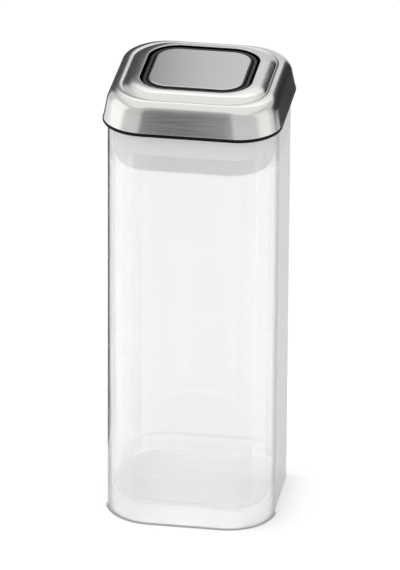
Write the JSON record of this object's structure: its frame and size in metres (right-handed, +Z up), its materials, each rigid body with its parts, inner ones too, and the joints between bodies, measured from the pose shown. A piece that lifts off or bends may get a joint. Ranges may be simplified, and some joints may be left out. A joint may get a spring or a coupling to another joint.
{
  "type": "storage canister",
  "caption": "Tall clear square canister with rounded corners and a brushed-steel push-top lid whose button swells or frees an airtight gasket.",
  "frame": {"origin": "centre of the jar's foot, on the surface that the jar stands on", "axes": "+Z up along the jar; -Y is the front face in the picture and +X is to its right"},
  "size_m": [0.1046, 0.1046, 0.2721],
  "materials": {
    "jar_glass": "clear polished",
    "brushed_steel": "fine brushed",
    "black_soft_plastic": "satin",
    "black_plastic": "semi-gloss moulded",
    "pale_plastic": "translucent satin",
    "silicone": "translucent satin",
    "white_acetal": "moulded",
    "hardware_steel": "zinc plated",
    "spring_steel": "drawn wire"
  },
  "bodies": {
    "jar": {"jar": "jar_glass"},
    "lid": {"rim_ring": "black_soft_plastic", "steel_cover": "brushed_steel", "lid_frame": "black_plastic", "button_bezel": "black_plastic", "gasket_carrier": "pale_plastic", "seal_gasket": "silicone", "carrier_screws": "hardware_steel", "fulcrum_pins": "hardware_steel", "button_spring": "spring_steel"},
    "button": {"button_plate": "brushed_steel", "button_body": "black_plastic", "button_stem": "white_acetal", "stem_screw": "hardware_steel"},
    "plate": {"pressure_plate": "pale_plastic"},
    "arm_front": {"rocker_arm_front": "white_acetal"},
    "arm_right": {"rocker_arm_right": "white_acetal"},
    "arm_rear": {"rocker_arm_rear": "white_acetal"},
    "arm_left": {"rocker_arm_left": "white_acetal"},
    "follower": {"latch_follower": "spring_steel"}
  },
  "joints": [
    {"name": "lid_lift", "type": "slide", "parent": "jar", "child": "lid", "axis": [0, 0, 1], "range_m": [0, 0.05]},
    {"name": "button_press", "type": "slide", "parent": "lid", "child": "button", "axis": [0, 0, 1], "range_m": [-0.001, 0.008], "deforming": ["button_spring"]},
    {"name": "plate_lift", "type": "slide", "parent": "lid", "child": "plate", "axis": [0, 0, 1], "range_m": [-0.0029, 0.0005], "deforming": ["seal_gasket"]},
    {"name": "arm_front_rock", "type": "hinge", "parent": "lid", "child": "arm_front", "pos_m": [0, -0.03, 0.24603], "axis": [1, 0, 0], "range_deg": [-4, 25]},
    {"name": "arm_right_rock", "type": "hinge", "parent": "lid", "child": "arm_right", "pos_m": [0.03, 0, 0.24603], "axis": [0, 1, 0], "range_deg": [-4, 25]},
    {"name": "arm_rear_rock", "type": "hinge", "parent": "lid", "child": "arm_rear", "pos_m": [0, 0.03, 0.24603], "axis": [-1, 0, 0], "range_deg": [-4, 25]},
    {"name": "arm_left_rock", "type": "hinge", "parent": "lid", "child": "arm_left", "pos_m": [-0.03, 0, 0.24603], "axis": [0, -1, 0], "range_deg": [-4, 25]},
    {"name": "follower_swing", "type": "hinge", "parent": "lid", "child": "follower", "pos_m": [0.01132, 0.01132, 0.24008], "axis": [0.7071, 0.7071, 0], "range_deg": [-9.5, 1.5]}
  ],
  "couplings": [
    {"joint": "plate_lift", "follows": "button_press", "ratio": -0.33333},
    {"joint": "arm_front_rock", "follows": "button_press", "rad_per_m": 51.649},
    {"joint": "arm_right_rock", "follows": "button_press", "rad_per_m": 51.649},
    {"joint": "arm_rear_rock", "follows": "button_press", "rad_per_m": 51.649},
    {"joint": "arm_left_rock", "follows": "button_press", "rad_per_m": 51.649},
    {"joint": "follower_swing", "follows": "button_press", "rad_per_m": -18.472}
  ]
}
